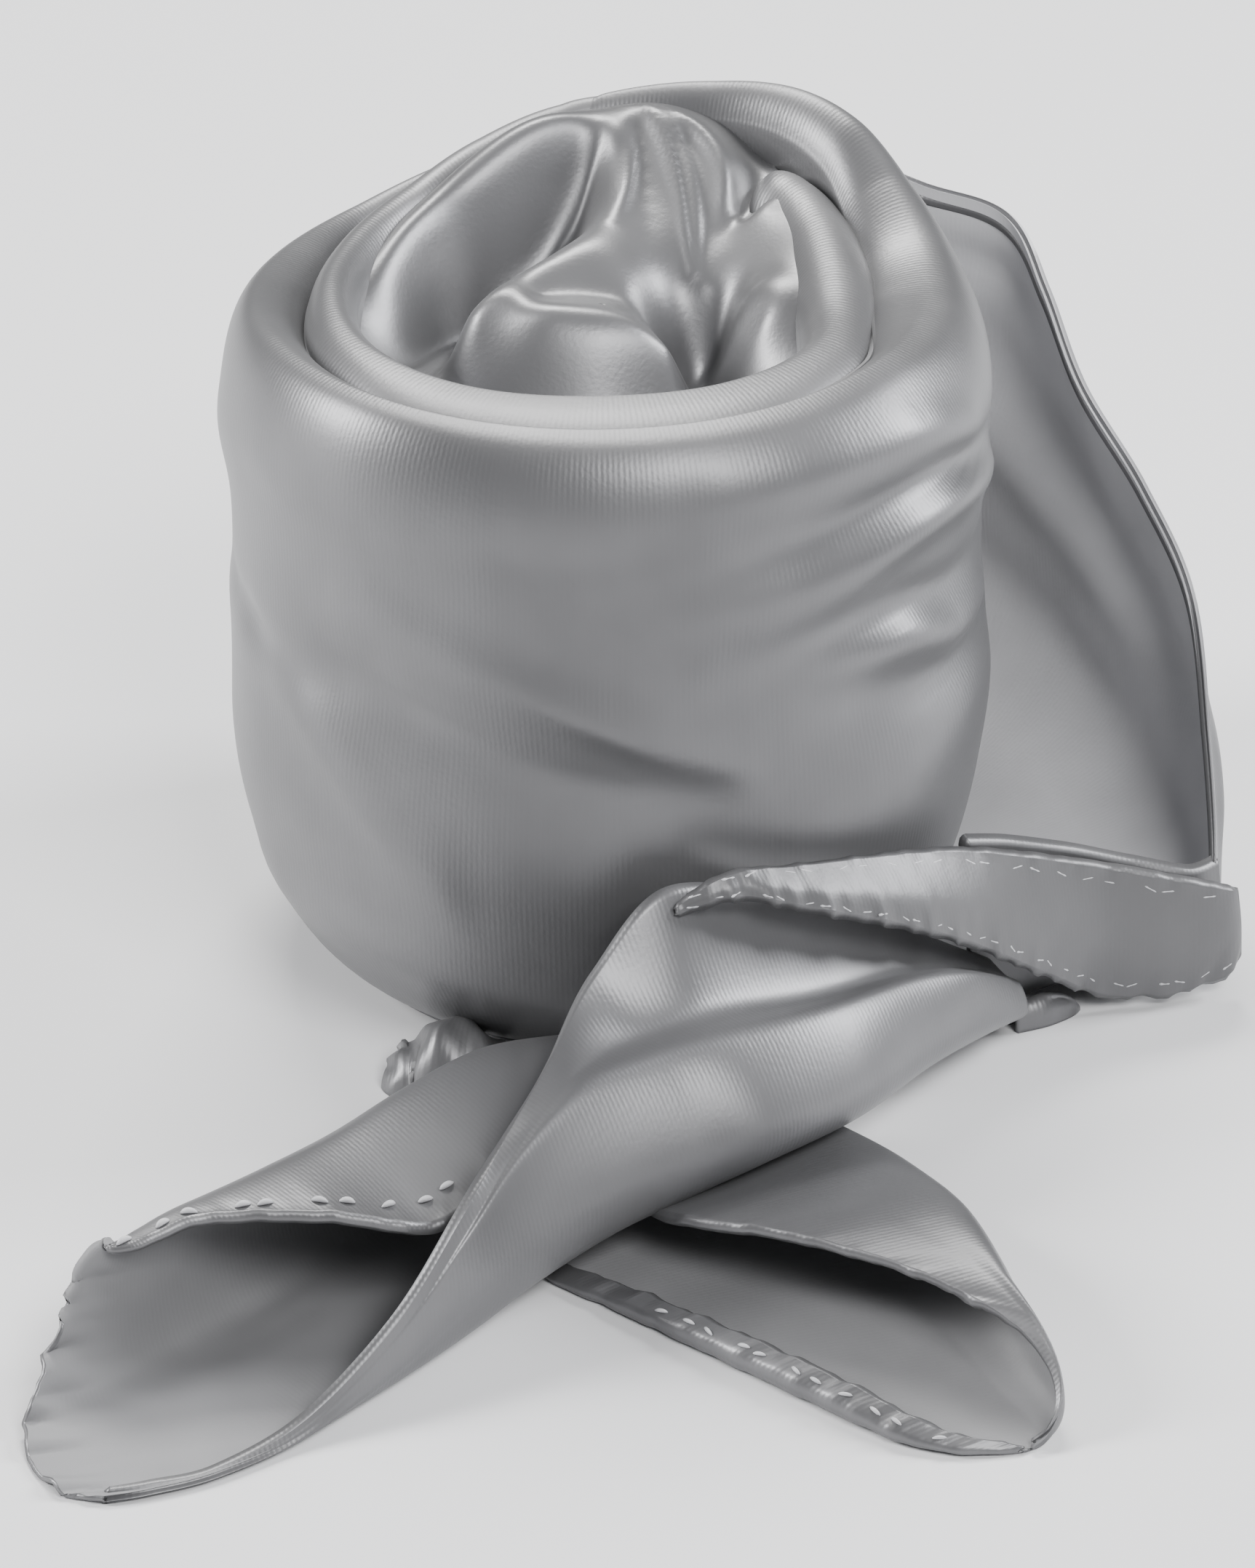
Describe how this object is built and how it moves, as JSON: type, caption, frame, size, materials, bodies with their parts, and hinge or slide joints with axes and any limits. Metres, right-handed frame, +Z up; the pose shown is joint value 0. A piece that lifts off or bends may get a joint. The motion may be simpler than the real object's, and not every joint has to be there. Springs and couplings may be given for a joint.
{
  "type": "neck scarf rolled as a rose",
  "caption": "Satin neck scarf rolled into a standing rose bud, its last turn opened out at one side and its rolled corner tails crossed in front.",
  "frame": {"origin": "centre of the bud's flat foot, on the surface it stands on", "axes": "+Z up along the roll's axis; -Y towards the viewer and the crossed tails; +X towards the side sweep"},
  "size_m": [0.0907, 0.1092, 0.0636],
  "materials": {
    "satin": "grey satin with fine lengthwise ribs and a bright soft sheen"
  },
  "bodies": {
    "root": {"core_folds": "satin", "outer_turn": "satin", "inner_turn": "satin", "side_sweep": "satin", "front_hem": "satin", "hem_flap": "satin", "front_tail": "satin", "rear_tail": "satin", "left_tuck": "satin", "right_tuck": "satin"}
  },
  "joints": []
}
